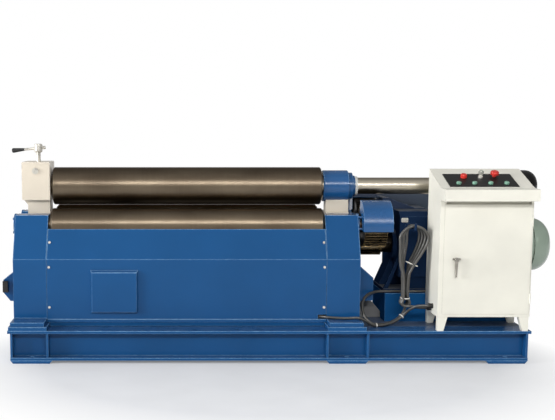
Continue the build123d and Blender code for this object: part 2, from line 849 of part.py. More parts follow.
front_cover = cover(-1)
cut_front = -stand_fold_y - 20
cut_rear = -stand_fold_y + 20
front_cover -= box(inspection_x[0] + inspection_overlap, inspection_x[1] - inspection_overlap,
                   cut_front, cut_rear,
                   inspection_z[0] + inspection_overlap, inspection_z[1] - inspection_overlap)
front_cover -= box(cable_notch_left, cover_right + 1, cut_front, cut_rear, *cable_notch_z)
save("front_cover", front_cover)
save("rear_cover", cover(1))
save("inspection_plate", box(*inspection_x, -stand_fold_y - inspection_thickness, -stand_fold_y,
                             *inspection_z))


def cover_screw(x, z, side):
    return on_cover(x, z, side) * rod_y(cover_screw_radius, 0, *sorted((0, side * cover_screw_height)), 0)


save("cover_screws",
     *[cover_screw(x, z, side) for x in (cover_left + cover_screw_inset, cover_right - cover_screw_inset)
       for z in cover_screw_heights for side in (-1, 1)])
junction_right = 240
junction_width = 80
junction_depth = 66
junction_z = (216, 286)
junction_front = -stand_fold_y + cover_thickness
junction_box = box(junction_right - junction_width, junction_right, junction_front,
                   junction_front + junction_depth, *junction_z)

# Drive pedestal, reducer and motor
pedestal = box(pedestal_left, pedestal_right, pedestal_front, -pedestal_front, base_top, pedestal_top)
pedestal -= box(pedestal_left + pedestal_wall, pedestal_right - pedestal_wall,
                pedestal_front + pedestal_wall, -pedestal_front - pedestal_wall,
                base_top - 1, pedestal_top - pedestal_wall)
motor_foot_top = drive_z - 100
motor_foot = box(motor_foot_left, motor_foot_right, -motor_foot_half_depth, motor_foot_half_depth,
                 pedestal_top, motor_foot_top)
motor_foot -= rod_x(motor_radius + fin_height + seat_gap, motor_foot_left - 1, motor_foot_right + 1,
                    0, drive_z)
motor_foot -= box(motor_foot_left + pedestal_wall, motor_foot_right - pedestal_wall,
                  -motor_foot_half_depth + pedestal_wall, motor_foot_half_depth - pedestal_wall,
                  pedestal_top - 1, motor_foot_inner_top)
save("drive_pedestal", pedestal, motor_foot)

output_boss_radius = 92
output_boss_length = 22
bearing_cover_radius = 46
bearing_cover_length = 12
hook_tip_height = 34
hook_plate_radius = 20
hook_plate_length = 6
leg_left = reducer_left + reducer_leg_inset
strut_foot = (pedestal_left + 4, pedestal_left + 28)
leg_outline = [(leg_left, reducer_foot), (reducer_right, reducer_foot),
               (reducer_right, reducer_floor), (leg_left, reducer_floor)]
strut_outline = [(reducer_left, strut_top_z), (strut_foot[0], reducer_foot),
                 (strut_foot[1], reducer_foot), (reducer_left, strut_low_z)]
gusset_outline = [(reducer_left, strut_top_z), (strut_foot[0], reducer_foot),
                  (leg_left, reducer_foot), (leg_left, reducer_floor), (reducer_left, reducer_floor)]
housing_box = box(reducer_left, reducer_right, reducer_front, reducer_rear, reducer_floor, reducer_top)
reducer = chamfer(housing_box.edges().filter_by(Axis.X).group_by(Axis.Z)[-1], reducer_chamfer)
reducer -= box(reducer_left + reducer_wall, reducer_right - reducer_wall, reducer_front + reducer_wall,
               reducer_rear - reducer_wall, reducer_floor + reducer_wall, reducer_inner_top)
reducer += box(pedestal_left, reducer_right, reducer_front, -pedestal_front, pedestal_top, reducer_foot)
for y in reducer_leg_fronts:
    reducer += prism_y(leg_outline, y, y + reducer_leg_thickness)
reducer += prism_y(strut_outline, reducer_leg_fronts[0], reducer_leg_fronts[0] + reducer_leg_thickness)
reducer += prism_y(gusset_outline, reducer_leg_fronts[1], reducer_leg_fronts[2] + reducer_leg_thickness)
reducer += rod_x(output_boss_radius, reducer_left - output_boss_length, reducer_left, 0, drive_z)
reducer -= rod_x(output_shaft_radius + clear_gap, reducer_left - output_boss_length - 1,
                 reducer_left + 20, 0, drive_z)
reducer -= rod_x(motor_shaft_radius + clear_gap, reducer_right - 20, reducer_right + 1, 0, drive_z)
reducer -= rod_x(layshaft_radius + running_gap, reducer_left - 1, layshaft_end + 1, layshaft_y, drive_z)
bearing_cover = rod_x(bearing_cover_radius, reducer_left - bearing_cover_length, reducer_left,
                      layshaft_y, drive_z)
hook = rod_y(hook_radius, hank_x, hook_end, reducer_front, hook_z)
hook += Pos(hank_x, hook_end, hook_z) * Sphere(hook_radius)
hook += rod_z(hook_radius, hank_x, hook_end, hook_z, hook_z + hook_tip_height)
hook += rod_y(hook_plate_radius, hank_x, reducer_front - hook_plate_length, reducer_front, hook_z)
save("reducer_housing", reducer, bearing_cover, hook)

# Sloped cover behind the tail of the upper roll
drive_cover_y = (60, 300)
drive_cover_left = guard_right + 4
drive_cover_wall = 4
crest_z = 913
crest_right = 772
slope_right = 940
slope_low_z = 850
inside_left = drive_cover_left + drive_cover_wall
inside_right = reducer_right - drive_cover_wall
drive_cover = prism_y([
    (drive_cover_left, reducer_top), (drive_cover_left, crest_z), (crest_right, crest_z),
    (slope_right, slope_low_z), (reducer_right, slope_low_z), (reducer_right, reducer_top),
], *drive_cover_y)
drive_cover -= prism_y([
    (inside_left, reducer_top - 1), (inside_left, crest_z - drive_cover_wall),
    (crest_right - 1, crest_z - drive_cover_wall), (slope_right - 1, slope_low_z - drive_cover_wall),
    (inside_right, slope_low_z - drive_cover_wall), (inside_right, reducer_top - 1),
], drive_cover_y[0] + drive_cover_wall, drive_cover_y[1] - drive_cover_wall)
save("drive_cover", drive_cover)

adapter_waist = 118
adapter_room = 100
flange_width = 16
adapter = turned_x([
    (reducer_right, 0), (reducer_right, motor_radius), (reducer_right + flange_width, motor_radius),
    (reducer_right + 2 * flange_width, adapter_waist), (motor_left - 2 * flange_width, adapter_waist),
    (motor_left - flange_width, motor_radius), (motor_left, motor_radius), (motor_left, 0),
], 0, drive_z)
adapter -= rod_x(motor_shaft_radius + clear_gap, reducer_right - 1, motor_left + 1, 0, drive_z)
adapter -= rod_x(adapter_room, reducer_right + flange_width, motor_left - flange_width, 0, drive_z)

fin_end_inset = 40
fin_root = 4
rotor_end_room = 10
terminal_x = (1290, 1410)
terminal_half_depth = 70
terminal_height = 70
motor = rod_x(motor_radius, motor_left, motor_right, 0, drive_z)
for index in range(fin_count):
    turn = Pos(0, 0, drive_z) * Rot(360 * index / fin_count, 0, 0)
    motor += turn * box(motor_left + fin_end_inset, motor_right - fin_end_inset, -fin_thickness / 2,
                        fin_thickness / 2, motor_radius - fin_root, motor_radius + fin_height)
motor -= rod_x(rotor_radius + clear_gap, rotor_span[0] - rotor_end_room, rotor_span[1] + rotor_end_room,
               0, drive_z)
motor -= rod_x(motor_shaft_radius + clear_gap, motor_left - 1, motor_right + 1, 0, drive_z)
terminal_box = box(*terminal_x, -terminal_half_depth, terminal_half_depth, drive_z + motor_radius - 6,
                   drive_z + motor_radius + terminal_height)
terminal_box -= rod_x(motor_radius + fin_height + seat_gap, terminal_x[0] - 1, terminal_x[1] + 1,
                      0, drive_z)
save("motor_body", motor, adapter, terminal_box)

vent_radius = 7
vent_rings = [(8, 30), (14, 58), (20, 86)]
vent_depth = 30
fan_cover = rod_x(fan_cover_radius, motor_right, fan_cover_end, 0, drive_z)
fan_cover = fillet(fan_cover.edges().group_by(Axis.X)[-1], fan_cover_round)
fan_space = rod_x(fan_cover_radius - fan_cover_wall, motor_right - 1, fan_cover_end - fan_cover_wall,
                  0, drive_z)
fan_cover -= fillet(fan_space.edges().group_by(Axis.X)[-1], fan_cover_round - fan_cover_wall)
for hole_count, ring_radius in vent_rings:
    for index in range(hole_count):
        angle = 2 * math.pi * index / hole_count
        fan_cover -= rod_x(vent_radius, fan_cover_end - vent_depth, fan_cover_end + 1,
                           ring_radius * math.cos(angle), drive_z + ring_radius * math.sin(angle))
save("motor_fan_cover", fan_cover)

# Cabinet, folded and welded from sheets
inner_left = cabinet_left + sheet
inner_right = cabinet_right - sheet
slope_drop = sheet / math.cos(math.radians(slope_angle))
front_top = cabinet_slope_front_z - slope_drop
rear_top = cabinet_slope_rear_z - 1.5 * slope_drop
opening_x = (door_left + 8, door_right - 6)
opening_z = (door_bottom + 8, lip_bottom)
side_outline = [
    (cabinet_front, cabinet_bottom), (cabinet_front, cabinet_slope_front_z),
    (cabinet_rear, cabinet_slope_rear_z), (cabinet_rear, cabinet_bottom),
]
lip_outline = [
    (lip_front, lip_bottom), (lip_front, lip_top), (cabinet_front, cabinet_slope_front_z),
    (cabinet_front, lip_bottom),
]
front_sheet = (cabinet_front, cabinet_front + sheet)
left_side = prism_x(side_outline, cabinet_left, inner_left)
right_side = prism_x(side_outline, inner_right, cabinet_right)
top_sheet = prism_x([
    (cabinet_front, cabinet_slope_front_z), (cabinet_rear, cabinet_slope_rear_z),
    (cabinet_rear, cabinet_slope_rear_z - slope_drop), (cabinet_front, front_top),
], inner_left, inner_right)
plain_sheets = [
    right_side,
    box(inner_left, inner_right, cabinet_rear - sheet, cabinet_rear, cabinet_bottom, rear_top),
    box(inner_left, inner_right, front_sheet[1], cabinet_rear - sheet, cabinet_bottom,
        cabinet_bottom + sheet),
    box(inner_left, opening_x[0], *front_sheet, cabinet_bottom, front_top),
    box(opening_x[1], inner_right, *front_sheet, cabinet_bottom, front_top),
    box(*opening_x, *front_sheet, cabinet_bottom, opening_z[0]),
    box(*opening_x, *front_sheet, opening_z[1], front_top),
    prism_x(lip_outline, cabinet_left, inner_left),
    prism_x(lip_outline, inner_right, cabinet_right),
    prism_x([
        (lip_front, lip_top), (cabinet_front, cabinet_slope_front_z), (cabinet_front, front_top),
        (lip_front, lip_top - sheet),
    ], inner_left, inner_right),
    box(inner_left, inner_right, lip_front, lip_front + sheet, lip_bottom, lip_top - sheet),
    box(inner_left, inner_right, lip_front + sheet, cabinet_front, lip_bottom, lip_bottom + sheet),
]
slope_place = Pos(0, cabinet_front, cabinet_slope_front_z) * Rot(slope_angle, 0, 0)
panel_x = (1008, 1398)
panel_s = (14, 206)
panel_thickness = 3

# Each control: X and distance up the slope
green_places = [(1067, 57), (1157, 57), (1247, 57), (1338, 57)]
red_place = (1118, 152)
key_place = (1214, 152)
stop_place = (1297, 166)
green_radius = 14
red_radius = 18
key_radius = 14
stop_stem_radius = 11
hole_extra = 0.5
panel = slope_place * box(*panel_x, *panel_s, 0, panel_thickness)
holes = [(x, s, green_radius) for x, s in green_places]
holes += [(*red_place, red_radius), (*key_place, key_radius), (*stop_place, stop_stem_radius)]
for x, s, radius in holes:
    drill = slope_place * rod_z(radius + hole_extra, x, s, -20, 10)
    panel -= drill
    top_sheet -= drill
for y, z in (lift_gland, motor_gland):
    left_side -= rod_x(gland_hole_radius, cabinet_left - 1, inner_left + 1, y, z)
save("control_panel", panel)

leg_width = 56
leg_inset = 4
leg_slant = 22
leg_depth = 36
leg_fronts = (cabinet_front + 2, cabinet_rear - leg_depth - 2)


def cabinet_leg(x0, left_slant, right_slant, y0):
    x1 = x0 + leg_width
    outline = [(x0, cabinet_bottom), (x1, cabinet_bottom), (x1 - right_slant, base_top),
               (x0 + left_slant, base_top)]
    return prism_y(outline, y0, y0 + leg_depth)


left_legs = [cabinet_leg(cabinet_left + leg_inset, 0, leg_slant, y) for y in leg_fronts]
right_legs = [cabinet_leg(cabinet_right - leg_inset - leg_width, leg_slant, 0, y) for y in leg_fronts]

hinge_x = cabinet_right - 4
hinge_y = cabinet_front - 6
hinge_heights = [(350, 410), (790, 850)]
hinge_pin_radius = 2
hinge_radius = 4
knuckle_length = 20.5
leaf_inset = 21
door_face = cabinet_front - 5
rim_inset = 12
rim_hinge_inset = 16
rim_depth = 14
rim_x = (door_left + rim_inset, door_right - rim_hinge_inset)
rim_z = (door_bottom + rim_inset, door_top - rim_inset)
rim_y = (door_face + sheet, cabinet_front + rim_depth)
handle_x = 1048
handle_z = 603
handle_pin_radius = 8.6
handle_hole_radius = 9
door = box(door_left, door_right, door_face, rim_y[0], door_bottom, door_top)
door += box(*rim_x, *rim_y, *rim_z)
door -= box(rim_x[0] + sheet, rim_x[1] - sheet, rim_y[0], rim_y[1] + 1, rim_z[0] + sheet, rim_z[1] - sheet)
door -= rod_y(handle_hole_radius, handle_x, door_face - 1, rim_y[0] + 1, handle_z)
for low, high in hinge_heights:
    leaf_z = (low + leaf_inset, high - leaf_inset)
    door += box(door_right - 4, hinge_x, door_face, rim_y[0], *leaf_z)
    door += rod_z(hinge_radius, hinge_x, hinge_y, *leaf_z)
    door -= rod_z(hinge_pin_radius + running_gap, hinge_x, hinge_y, low, high)
save("cabinet_door", door)


def hinge(low, high):
    pin = rod_z(hinge_pin_radius, hinge_x, hinge_y, low, high)
    for z0, z1 in ((low, low + knuckle_length), (high - knuckle_length, high)):
        pin += rod_z(hinge_radius, hinge_x, hinge_y, z0, z1)
        pin += box(hinge_x - 2, hinge_x + 3, hinge_y, cabinet_front, z0, z1)
    return pin


hinges = [hinge(low, high) for low, high in hinge_heights]
save("cabinet_body", left_side, top_sheet, *plain_sheets, *left_legs, *right_legs, *hinges)

handle_boss_radius = 13
handle_bar_radius = 6
handle_bar_half = 22
latch_x = (handle_x - 14, handle_x + 6)
latch_half_height = 9
lever_y = (door_face - 24, door_face - 14)
lever_outline = [
    (handle_x - 9, handle_z + 10), (handle_x + 9, handle_z + 10), (handle_x + 8, handle_z - 24),
    (handle_x + 4, handle_z - 100), (handle_x - 4, handle_z - 100), (handle_x - 8, handle_z - 24),
]
handle = rod_y(handle_pin_radius, handle_x, lever_y[1] - 1, rim_y[0] + 4, handle_z)
handle += rod_y(handle_boss_radius, handle_x, lever_y[0] - 2, lever_y[1], handle_z)
handle += prism_y(lever_outline, *lever_y)
handle += rod_x(handle_bar_radius, handle_x - handle_bar_half, handle_x + handle_bar_half,
                lever_y[0] + 5, handle_z + 4)
handle += box(*latch_x, rim_y[0] + 3, rim_y[0] + 6,
              handle_z - latch_half_height, handle_z + latch_half_height)
save("door_handle", handle)

plate_thickness = 21
plate_inset = 30
plate_z = (330, 880)
block_inset = 66
block_gap = 14
block_depth = 80
plate_front = cabinet_rear - sheet - plate_thickness
switchgear = [box(cabinet_left + plate_inset, cabinet_right - plate_inset, plate_front,
                  cabinet_rear - sheet, *plate_z)]
switch_rows = [(400, 90, 4, 90), (560, 110, 5, 70), (730, 80, 4, 85)]
for z, height, count, width in switch_rows:
    for index in range(count):
        x = cabinet_left + block_inset + index * (width + block_gap)
        switchgear.append(box(x, x + width, plate_front - block_depth, plate_front, z, z + height))
save("switchgear", *switchgear)


# Controls on the sloped panel
control_depth = 14
green_lift = 12
red_lift = 22
top_round_share = 0.45


def button(place, radius, lift):
    cap = rod_z(radius, *place, -control_depth, panel_thickness + lift)
    return slope_place * fillet(cap.edges().group_by(Axis.Z)[-1], top_round_share * radius)


for index, place in enumerate(green_places):
    save(f"green_button_{index + 1}", button(place, green_radius, green_lift))
save("red_button", button(red_place, red_radius, red_lift))

stop_head_radius = 24
stop_head_z = (panel_thickness + 14, panel_thickness + 34)
stop = rod_z(stop_stem_radius, *stop_place, -control_depth, stop_head_z[0])
stop_head = rod_z(stop_head_radius, *stop_place, *stop_head_z)
stop += fillet(stop_head.edges().group_by(Axis.Z)[-1], top_round_share * stop_head_radius)
save("emergency_stop", slope_place * stop)

key_lock_top = panel_thickness + 8
key_half_thickness = 2
key_half_width = 8
bow_radius = 16
bow_hole_radius = 5
bow_centre = key_lock_top + 22
key_depth = (key_place[1] - key_half_thickness, key_place[1] + key_half_thickness)
key = rod_z(key_radius, *key_place, -control_depth, key_lock_top)
key += box(key_place[0] - key_half_width, key_place[0] + key_half_width, *key_depth,
           key_lock_top, bow_centre)
key += rod_y(bow_radius, key_place[0], *key_depth, bow_centre)
key -= rod_y(bow_hole_radius, key_place[0], key_depth[0] - 1, key_depth[1] + 1, bow_centre + bow_hole_radius)
save("key_switch", slope_place * key)

# Cables, their glands and boxes
cable_z = pedestal_top + cable_diameter / 2 + 1
cable_start_x = cabinet_left - gland_length
motor_end_x = motor_foot_left - gland_length


def gland(x0, y, z):
    x1 = x0 + gland_length
    return rod_x(gland_radius, x0, x1, y, z) - rod_x(gland_hole_radius, x0 - 1, x1 + 1, y, z)


save("electrical_fittings", limit_switch, junction_box, gland(cable_start_x, *lift_gland),
     gland(cable_start_x, *motor_gland), gland(motor_end_x, motor_end_y, motor_end_z))

lift_route = [
    (cable_start_x, *lift_gland), (892, *lift_gland), (860, -369, 302), (834, -350, 276),
    (806, -318, 246), (766, -316, 219), (720, -343, 203), (660, -364, 198.5), (610, -369, 199.5),
    (564, -390, 233), (524, -402, 254), (462, -392, 247), (396, -371, 245), (350, -348, 245),
    (312, -320, 245), (270, -306, 245), (junction_right, -306, 245),
]


# The hank: each loop hangs on the hook, narrower than the one in front of it, and is folded below.
def hank_middle(z):
    share = (z - hank_waist_z) / (hank_bow_z - hank_waist_z)
    return hank_low_x + (hank_x - hank_low_x) * min(1, max(0, share))


def hank_loop(loop):
    corner = math.tan(math.radians(22.5))
    top = hank_half_width - loop * hank_nesting
    fold = hank_fold_half_width
    right = [
        (corner * top, hank_top_z), (top, hank_top_z - (1 - corner) * top), (0.95 * top, hank_bow_z),
        (0.7 * top, 602), (0.45 * top, 543), (22, hank_waist_z), (19, 430), (22, 378), (20, 345),
        (fold, hank_bottom_z + (1 - corner) * fold), (corner * fold, hank_bottom_z),
    ]
    left = [(-out, z) for out, z in reversed(right)]
    return left + right


def hank_points():
    points = []
    for loop in range(hank_loops):
        outline = hank_loop(loop)
        for index, (out, z) in enumerate(outline):
            y = hank_front_y + hank_pitch * (loop + index / len(outline))
            points.append((hank_middle(z) + out, y, z))
    return points[:-4]


motor_lead = [
    (cable_start_x, *motor_gland), (893, *motor_gland), (861, -334, 303), (835, -332, 308),
]
motor_tail = [
    (842, -252, 370), (824, -244, 304), (786, -266, 242), (730, -310, 204), (664, -342, 198.5),
    (608, -344, 203), (566, -322, 246), (560, -276, 308), (594, -222, 356), (660, -186, 371),
    (730, -175, cable_z), (868, -178, cable_z), (1000, -174, cable_z), (1090, -158, cable_z + 1),
    (1150, -115, cable_z + 5), (1200, motor_end_y, motor_end_z), (motor_end_x, motor_end_y, motor_end_z),
]
motor_route = motor_lead + hank_points() + motor_tail


def bend_radii(route):
    radii = []
    for before, here, after in zip(route, route[1:], route[2:]):
        come = Vector(*here) - Vector(*before)
        leave = Vector(*after) - Vector(*here)
        half_turn = math.radians(come.get_angle(leave)) / 2
        radii.append(0.45 * min(come.length, leave.length) / math.tan(half_turn))
    return radii


def cable(name, route):
    radii = bend_radii(route)
    path = FilletPolyline(*route, radius=radii)
    start = Plane(origin=path @ 0, z_dir=path % 0)
    tube = sweep(start * Circle(cable_diameter / 2), path=path)
    ideal = math.pi * cable_diameter**2 / 4 * path.length
    print(name, "length", round(path.length), "least bend radius", round(min(radii), 1),
          "volume share", round(tube.volume / ideal, 4))
    save(name, tube)
    return path


def least_self_gap(path):
    step = 6
    far_along = 12
    count = int(path.length / step)
    spots = [path @ (index / count) for index in range(count + 1)]
    return min((spots[a] - spots[b]).length - cable_diameter
               for a in range(len(spots)) for b in range(a + far_along, len(spots)))


cable("lift_cable", lift_route)
motor_path = cable("motor_cable", motor_route)
print("motor_cable least gap to itself", round(least_self_gap(motor_path), 2))
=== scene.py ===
import json
import math

import bmesh
import bpy
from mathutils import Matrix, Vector


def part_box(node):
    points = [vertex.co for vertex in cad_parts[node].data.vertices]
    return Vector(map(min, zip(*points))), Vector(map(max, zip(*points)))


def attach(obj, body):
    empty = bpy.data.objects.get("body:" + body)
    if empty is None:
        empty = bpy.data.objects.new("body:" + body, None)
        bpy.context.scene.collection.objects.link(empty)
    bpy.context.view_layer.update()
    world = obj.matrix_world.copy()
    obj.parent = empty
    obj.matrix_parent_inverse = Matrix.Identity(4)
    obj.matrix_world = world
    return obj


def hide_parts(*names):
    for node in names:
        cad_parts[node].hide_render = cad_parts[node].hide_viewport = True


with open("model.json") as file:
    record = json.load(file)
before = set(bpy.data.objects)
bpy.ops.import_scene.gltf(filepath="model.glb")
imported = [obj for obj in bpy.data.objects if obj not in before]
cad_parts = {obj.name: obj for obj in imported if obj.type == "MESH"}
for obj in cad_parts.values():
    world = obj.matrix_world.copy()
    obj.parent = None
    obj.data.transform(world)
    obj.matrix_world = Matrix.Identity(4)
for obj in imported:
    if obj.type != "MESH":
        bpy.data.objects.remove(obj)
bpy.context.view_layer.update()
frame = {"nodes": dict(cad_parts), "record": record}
nodes = frame["nodes"]

# Camera, in metres and degrees. The picture is 555 by 420 pixels.
picture_width = 555
picture_height = 420
sensor_width = 36.0
focal_pixels = 1000.0
centre_pixel_x = 180.0
centre_pixel_y = 247.8
camera_place = (-0.509, -6.080, 1.3566)
camera_pitch = 7.0

# Cables, in metres. Their routes are those of the solids, moved a little near the hank.
cable_diameter = 0.016
cable_roundness = 5
cable_smoothness = 10
lift_route = [
    (0.930, -0.375, 0.318), (0.892, -0.375, 0.318), (0.862, -0.371, 0.316), (0.840, -0.352, 0.300),
    (0.818, -0.320, 0.274), (0.790, -0.305, 0.238), (0.736, -0.328, 0.2085), (0.660, -0.364, 0.1985),
    (0.610, -0.369, 0.1995), (0.564, -0.390, 0.233), (0.524, -0.402, 0.254), (0.462, -0.392, 0.247),
    (0.396, -0.371, 0.245), (0.350, -0.348, 0.245), (0.312, -0.320, 0.245), (0.270, -0.306, 0.245),
    (0.240, -0.306, 0.245),
]
motor_lead = [
    (0.930, -0.335, 0.300), (0.893, -0.335, 0.300), (0.861, -0.334, 0.303), (0.835, -0.332, 0.308),
]
motor_tail = [
    (0.834, -0.252, 0.370), (0.828, -0.260, 0.310), (0.803, -0.286, 0.252), (0.746, -0.304, 0.2105),
    (0.664, -0.342, 0.1985), (0.608, -0.344, 0.203), (0.566, -0.322, 0.246), (0.560, -0.276, 0.308),
    (0.594, -0.222, 0.356), (0.660, -0.186, 0.371), (0.730, -0.175, 0.370), (0.868, -0.178, 0.370),
    (1.000, -0.174, 0.370), (1.090, -0.158, 0.371), (1.150, -0.115, 0.375), (1.200, -0.088, 0.378),
    (1.238, -0.088, 0.378),
]

# Hank of the motor cable: loops one behind the other, wide above and drawn together below
hank_loops = 4
hank_points_left_off = 4
hank_front_y = -0.330
hank_pitch = 0.018
hank_x = 0.849
hank_low_x = 0.810
hank_half_width = 0.084
hank_right_nesting = (0.0, 0.014, 0.028, 0.042)
hank_left_nesting = (0.0, 0.0235, 0.047, 0.051)
hank_stagger = 0.005
hank_fold_half_width = 0.027
hank_top_z = 0.774
hank_bow_z = 0.675
hank_lean_z = 0.540
hank_waist_z = 0.487
hank_neck_z = 0.378
hank_bottom_z = 0.306
# Below the top: share of the loop's half width, and height
hank_taper = [(0.95, hank_bow_z), (0.70, 0.602), (0.45, 0.543)]
# Above the fold: distance from the middle, and height
hank_neck = [(0.014, hank_waist_z), (0.011, 0.430), (0.011, hank_neck_z), (0.015, 0.345)]

# Nylon ties: a flat band round the strands, with a lock
tie_height = 0.0055
tie_thickness = 0.0016
tie_steps = 40
tie_squareness = 0.75
tie_lock_size = (0.005, 0.004, 0.006)
tie_lock_share = 0.3
tie_lock_out = 0.002
# Middle of each band, direction of its strands, half its width and half its depth
tie_places = {
    "hank_side_tie": ((0.844, -0.291, 0.552), (0.42, 0.0, 1.0), 0.0185, 0.037),
    "hank_tie": ((0.810, -0.294, 0.352), (0.0, 0.0, 1.0), 0.0245, 0.040),
    "corner_tie": ((0.7905, -0.2993, 0.2432), (-0.73, -0.16, -0.67), 0.0187, 0.0105),
    "floor_tie": ((0.634, -0.355, 0.2005), (-1.0, 0.0, 0.0), 0.0205, 0.0095),
}

# Blank plate on the reducer, held by four round-headed pins: X and Z of its corners
plate_low = (0.808, 0.782)
plate_high = (0.848, 0.808)
plate_face_y = -0.156
plate_thickness = 0.0012
plate_corner_radius = 0.003
plate_corner_steps = 4
pin_inset = 0.004
pin_radius = 0.0018
pin_flatness = 1.0
pin_steps = (12, 8)

# Edges of the plates and sheets
plate_rounding = 0.0012
sheet_rounding = 0.0006
rounding_steps = 2

# Grey gusset between the right stand and the deck: X and Z of its corners
gusset_corners = [(0.541, 0.191), (0.737, 0.191), (0.737, 0.199), (0.642, 0.311), (0.541, 0.311)]
gusset_y = (-0.060, -0.046)

# Raised cover over the inspection opening, bevelled all round
cover_lip = 0.004
cover_rise = 0.024
cover_side_slope = 0.008
cover_top_slope = 0.012
cover_bottom_slope = 0.003

# Rail behind the gap over the cabinet door: Y and Z of its section
rail_section = [
    (-0.478, 0.960), (-0.460, 0.960), (-0.460, 0.900), (-0.462, 0.900), (-0.462, 0.958), (-0.478, 0.958),
]
rail_x = (0.986, 1.466)

# Guard sheets along the back of the gears and of the drive cover: X and Z of their outlines
sheet_y = (0.3005, 0.3045)
gear_sheet = [(0.552, 0.700), (0.736, 0.700), (0.736, 0.932), (0.562, 0.932), (0.552, 0.922)]
cover_sheet = [
    (0.7365, 0.846), (1.003, 0.846), (1.003, 0.800), (1.092, 0.800), (1.092, 0.912), (1.072, 0.932),
    (0.7365, 0.932),
]

# Round-headed screws that hold the guard sheets: X and Z of each
screw_radius = 0.007
screw_flatness = 0.5
screw_steps = (16, 10)
sheet_screws = [
    (0.572, 0.720), (0.716, 0.720), (0.572, 0.908), (0.716, 0.908), (0.756, 0.864), (0.756, 0.908),
    (0.880, 0.864), (0.880, 0.908), (0.984, 0.864), (0.984, 0.908),
]

# World: strengths of its light, and the cosines to the back or to the glow between which they change
ambient_strength = 0.25
back_light_strength = 0.95
back_light_span = (0.0, 0.7)
room_strength = 0.3
backdrop_strength = 1.0
backdrop_span = (0.965, 0.995)
glow_strength = 0.5
glow_height = math.radians(46.0)
glow_span = (0.80, 0.98)

# Floor, and the patch of it that keeps the object's shadow
floor_size = 60.0
shadow_half_size = (1.60, 1.40)
shadow_middle_y = -0.40
shadow_reach = (0.80, 1.15)
shadow_share = 0.8

# Numbers of the mix node's sockets: first, second and result
colour_sockets = (6, 7, 2)
value_sockets = (2, 3, 0)

x_axis = 0
y_axis = 1


def srgb(red, green, blue):
    def channel(value):
        share = value / 255
        return share / 12.92 if share <= 0.04045 else ((share + 0.055) / 1.055) ** 2.4

    return (channel(red), channel(green), channel(blue), 1.0)


def shade(colour, factor):
    return tuple(min(1.0, value * factor) for value in colour[:3]) + (1.0,)


# Materials

class Nodes:
    """Makes and joins the nodes of one shader tree."""

    def __init__(self, tree):
        self.tree = tree

    def node(self, kind, **settings):
        made = self.tree.nodes.new(kind)
        for name, value in settings.items():
            setattr(made, name, value)
        return made

    def feed(self, socket, value):
        if isinstance(value, bpy.types.NodeSocket):
            self.tree.links.new(value, socket)
        else:
            socket.default_value = value

    def joined(self, kind, operation, output, *values):
        made = self.node(kind, operation=operation)
        for socket, value in zip(made.inputs, values):
            self.feed(socket, value)
        return made.outputs[output]

    def maths(self, operation, first, second):
        return self.joined("ShaderNodeMath", operation, "Value", first, second)

    def dot(self, first, second):
        return self.joined("ShaderNodeVectorMath", "DOT_PRODUCT", "Value", first, second)

    def part(self, vector, letter):
        made = self.node("ShaderNodeSeparateXYZ")
        self.feed(made.inputs["Vector"], vector)
        return made.outputs[letter]

    def span(self, value, low, high, to_low=0.0, to_high=1.0):
        made = self.node("ShaderNodeMapRange", clamp=True)
        self.feed(made.inputs["Value"], value)
        self.feed(made.inputs["From Min"], low)
        self.feed(made.inputs["From Max"], high)
        self.feed(made.inputs["To Min"], to_low)
        self.feed(made.inputs["To Max"], to_high)
        return made.outputs["Result"]

    def either_ray(self, *kinds):
        """1 for rays of any of these kinds."""
        rays = self.node("ShaderNodeLightPath")
        found = rays.outputs[kinds[0]]
        for kind in kinds[1:]:
            found = self.maths("MAXIMUM", found, rays.outputs[kind])
        return found

    def choose(self, share, first, second):
        chosen = self.node("ShaderNodeMixShader")
        for socket, value in zip(chosen.inputs, (share, first, second)):
            self.feed(socket, value)
        return chosen.outputs["Shader"]


